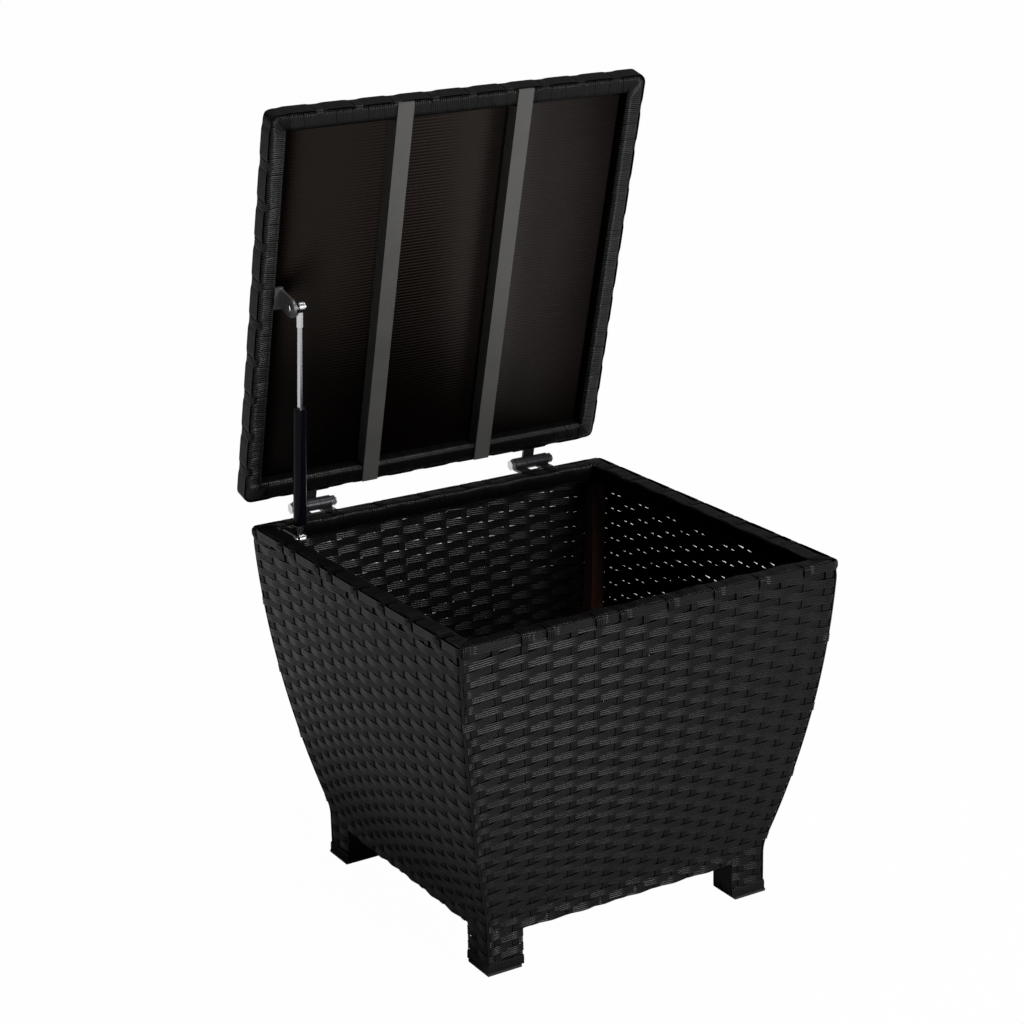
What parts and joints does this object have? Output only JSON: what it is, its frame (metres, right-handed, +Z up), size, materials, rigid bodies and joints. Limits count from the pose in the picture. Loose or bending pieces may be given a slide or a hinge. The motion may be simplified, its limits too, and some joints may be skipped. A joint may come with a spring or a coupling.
{
  "type": "storage side table",
  "caption": "Square flared wicker side table with a storage tub, a hinged lid on barrel hinges and a gas strut that holds the lid open.",
  "frame": {"origin": "on the floor, under the middle of the table's box with the lid open", "axes": "+Z up, -Y towards the front, +X to the right as seen from the front"},
  "size_m": [0.477, 0.5102, 0.8896],
  "materials": {
    "wicker": "ribbed flat strands, soft sheen",
    "frame_steel": "dark powder coat",
    "bar_steel": "satin dark grey",
    "fluted_board": "fine flutes, dull",
    "glide_plastic": "smooth",
    "hinge_steel": "satin grey",
    "bracket_steel": "satin dark grey",
    "strut_black": "satin black",
    "rod_chrome": "polished",
    "guide_plastic": "smooth",
    "bright_steel": "zinc plated"
  },
  "bodies": {
    "base": {"rim_wrap_front": "wicker", "rim_wrap_right": "wicker", "rim_wrap_back": "wicker", "rim_wrap_left": "wicker", "rim_tube_front": "frame_steel", "rim_tube_right": "frame_steel", "rim_tube_back": "frame_steel", "rim_tube_left": "frame_steel", "wall_front": "wicker", "wall_right": "wicker", "wall_back": "wicker", "wall_left": "wicker", "corner_post_front_left": "frame_steel", "corner_post_front_right": "frame_steel", "corner_post_back_right": "frame_steel", "corner_post_back_left": "frame_steel", "leg_wrap_front_left": "wicker", "leg_wrap_front_right": "wicker", "leg_wrap_back_right": "wicker", "leg_wrap_back_left": "wicker", "foot_glide_front_left": "glide_plastic", "foot_glide_front_right": "glide_plastic", "foot_glide_back_right": "glide_plastic", "foot_glide_back_left": "glide_plastic", "bottom_rail_front": "frame_steel", "bottom_rail_right": "frame_steel", "bottom_rail_back": "frame_steel", "bottom_rail_left": "frame_steel", "floor_panel": "fluted_board", "hinge_base_left": "hinge_steel", "hinge_base_right": "hinge_steel", "hinge_bolts": "bright_steel", "hinge_nuts": "bright_steel", "strut_base_bracket": "bracket_steel", "strut_base_pin": "bright_steel"},
    "lid": {"lid_wrap_front": "wicker", "lid_wrap_right": "wicker", "lid_wrap_back": "wicker", "lid_wrap_left": "wicker", "lid_tube_front": "frame_steel", "lid_tube_right": "frame_steel", "lid_tube_back": "frame_steel", "lid_tube_left": "frame_steel", "lid_bar_left": "bar_steel", "lid_bar_right": "bar_steel", "lid_board": "fluted_board", "lid_weave": "wicker", "hinge_lid_left": "hinge_steel", "hinge_lid_right": "hinge_steel", "strut_lid_bracket": "bracket_steel", "strut_stud_nut": "bright_steel"},
    "strut_cylinder_body": {"strut_cylinder": "strut_black", "strut_guide": "guide_plastic", "strut_lower_eye": "bright_steel"},
    "strut_rod_body": {"strut_rod": "rod_chrome", "strut_piston": "bright_steel", "strut_upper_eye": "bright_steel", "strut_upper_stud": "bright_steel"}
  },
  "joints": [
    {"name": "lid_hinge", "type": "hinge", "parent": "base", "child": "lid", "pos_m": [0, 0.23944, 0.406], "axis": [1, 0, 0], "range_deg": [0, 75], "stiffness_Nm_per_rad": 4.4, "springref_deg": -42.97},
    {"name": "strut_swing", "type": "hinge", "parent": "base", "child": "strut_cylinder_body", "pos_m": [-0.1988, 0.17224, 0.3923], "axis": [1, 0, 0], "range_deg": [0, 87.13]},
    {"name": "strut_stroke", "type": "slide", "parent": "strut_cylinder_body", "child": "strut_rod_body", "axis": [0, -0.1021, 0.9948], "range_m": [-0.06627, 0]}
  ],
  "couplings": [
    {"joint": "strut_swing", "follows": "lid_hinge", "ratio": 1.1616},
    {"joint": "strut_stroke", "follows": "lid_hinge", "m_per_rad": -0.050621}
  ]
}
